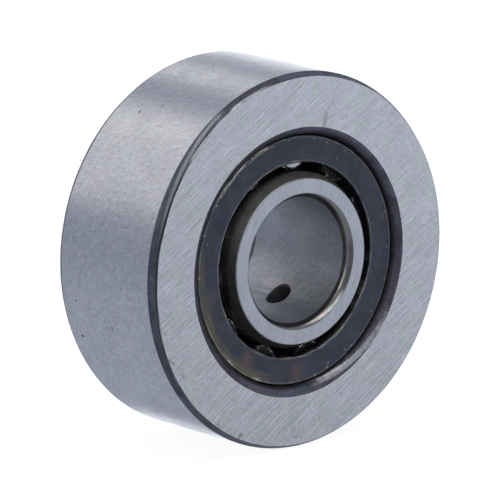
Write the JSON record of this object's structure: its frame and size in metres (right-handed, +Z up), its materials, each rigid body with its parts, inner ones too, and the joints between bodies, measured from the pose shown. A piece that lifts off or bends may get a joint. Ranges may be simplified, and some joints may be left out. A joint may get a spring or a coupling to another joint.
{
  "type": "cam follower",
  "caption": "Yoke type cam follower: a thick cylindrical outer ring that rolls on caged needle rollers around an inner ring with a bore for a pin.",
  "frame": {"origin": "centre of the pin bore at mid width, which is also the centre of the whole roller", "axes": "+Y along the roller axis from the front side to the rear side, +Z up, +X to the right when the front side is looked at from -Y"},
  "size_m": [0.03, 0.012, 0.03],
  "materials": {
    "ring_steel": "ground, with dark unground corners",
    "inner_ring_steel": "ground",
    "cage_sheet": "blackened sheet steel, oiled",
    "needle_steel": "polished"
  },
  "bodies": {
    "inner_ring": {"inner_ring": "inner_ring_steel"},
    "outer_ring": {"outer_ring": "ring_steel"},
    "cage": {"cage": "cage_sheet"},
    "needle_roller_01": {"needle_roller_01": "needle_steel"},
    "needle_roller_02": {"needle_roller_02": "needle_steel"},
    "needle_roller_03": {"needle_roller_03": "needle_steel"},
    "needle_roller_04": {"needle_roller_04": "needle_steel"},
    "needle_roller_05": {"needle_roller_05": "needle_steel"},
    "needle_roller_06": {"needle_roller_06": "needle_steel"},
    "needle_roller_07": {"needle_roller_07": "needle_steel"},
    "needle_roller_08": {"needle_roller_08": "needle_steel"},
    "needle_roller_09": {"needle_roller_09": "needle_steel"},
    "needle_roller_10": {"needle_roller_10": "needle_steel"},
    "needle_roller_11": {"needle_roller_11": "needle_steel"}
  },
  "joints": [
    {"name": "outer_ring_spin", "type": "hinge", "parent": "inner_ring", "child": "outer_ring", "pos_m": [0, 0, 0], "axis": [0, 1, 0], "continuous": true},
    {"name": "cage_spin", "type": "hinge", "parent": "inner_ring", "child": "cage", "pos_m": [0, 0, 0], "axis": [0, 1, 0], "continuous": true},
    {"name": "needle_roller_01_spin", "type": "hinge", "parent": "cage", "child": "needle_roller_01", "pos_m": [0.0004, 0, 0.00849], "axis": [0, 1, 0], "continuous": true},
    {"name": "needle_roller_02_spin", "type": "hinge", "parent": "cage", "child": "needle_roller_02", "pos_m": [-0.00425, 0, 0.00736], "axis": [0, 1, 0], "continuous": true},
    {"name": "needle_roller_03_spin", "type": "hinge", "parent": "cage", "child": "needle_roller_03", "pos_m": [-0.00756, 0, 0.00389], "axis": [0, 1, 0], "continuous": true},
    {"name": "needle_roller_04_spin", "type": "hinge", "parent": "cage", "child": "needle_roller_04", "pos_m": [-0.00846, 0, -0.00081], "axis": [0, 1, 0], "continuous": true},
    {"name": "needle_roller_05_spin", "type": "hinge", "parent": "cage", "child": "needle_roller_05", "pos_m": [-0.00668, 0, -0.00526], "axis": [0, 1, 0], "continuous": true},
    {"name": "needle_roller_06_spin", "type": "hinge", "parent": "cage", "child": "needle_roller_06", "pos_m": [-0.00278, 0, -0.00803], "axis": [0, 1, 0], "continuous": true},
    {"name": "needle_roller_07_spin", "type": "hinge", "parent": "cage", "child": "needle_roller_07", "pos_m": [0.00201, 0, -0.00826], "axis": [0, 1, 0], "continuous": true},
    {"name": "needle_roller_08_spin", "type": "hinge", "parent": "cage", "child": "needle_roller_08", "pos_m": [0.00615, 0, -0.00586], "axis": [0, 1, 0], "continuous": true},
    {"name": "needle_roller_09_spin", "type": "hinge", "parent": "cage", "child": "needle_roller_09", "pos_m": [0.00835, 0, -0.0016], "axis": [0, 1, 0], "continuous": true},
    {"name": "needle_roller_10_spin", "type": "hinge", "parent": "cage", "child": "needle_roller_10", "pos_m": [0.00789, 0, 0.00316], "axis": [0, 1, 0], "continuous": true},
    {"name": "needle_roller_11_spin", "type": "hinge", "parent": "cage", "child": "needle_roller_11", "pos_m": [0.00493, 0, 0.00693], "axis": [0, 1, 0], "continuous": true}
  ],
  "couplings": [
    {"joint": "cage_spin", "follows": "outer_ring_spin", "ratio": 0.58823},
    {"joint": "needle_roller_01_spin", "follows": "outer_ring_spin", "ratio": 2.7451},
    {"joint": "needle_roller_02_spin", "follows": "outer_ring_spin", "ratio": 2.7451},
    {"joint": "needle_roller_03_spin", "follows": "outer_ring_spin", "ratio": 2.7451},
    {"joint": "needle_roller_04_spin", "follows": "outer_ring_spin", "ratio": 2.7451},
    {"joint": "needle_roller_05_spin", "follows": "outer_ring_spin", "ratio": 2.7451},
    {"joint": "needle_roller_06_spin", "follows": "outer_ring_spin", "ratio": 2.7451},
    {"joint": "needle_roller_07_spin", "follows": "outer_ring_spin", "ratio": 2.7451},
    {"joint": "needle_roller_08_spin", "follows": "outer_ring_spin", "ratio": 2.7451},
    {"joint": "needle_roller_09_spin", "follows": "outer_ring_spin", "ratio": 2.7451},
    {"joint": "needle_roller_10_spin", "follows": "outer_ring_spin", "ratio": 2.7451},
    {"joint": "needle_roller_11_spin", "follows": "outer_ring_spin", "ratio": 2.7451}
  ]
}
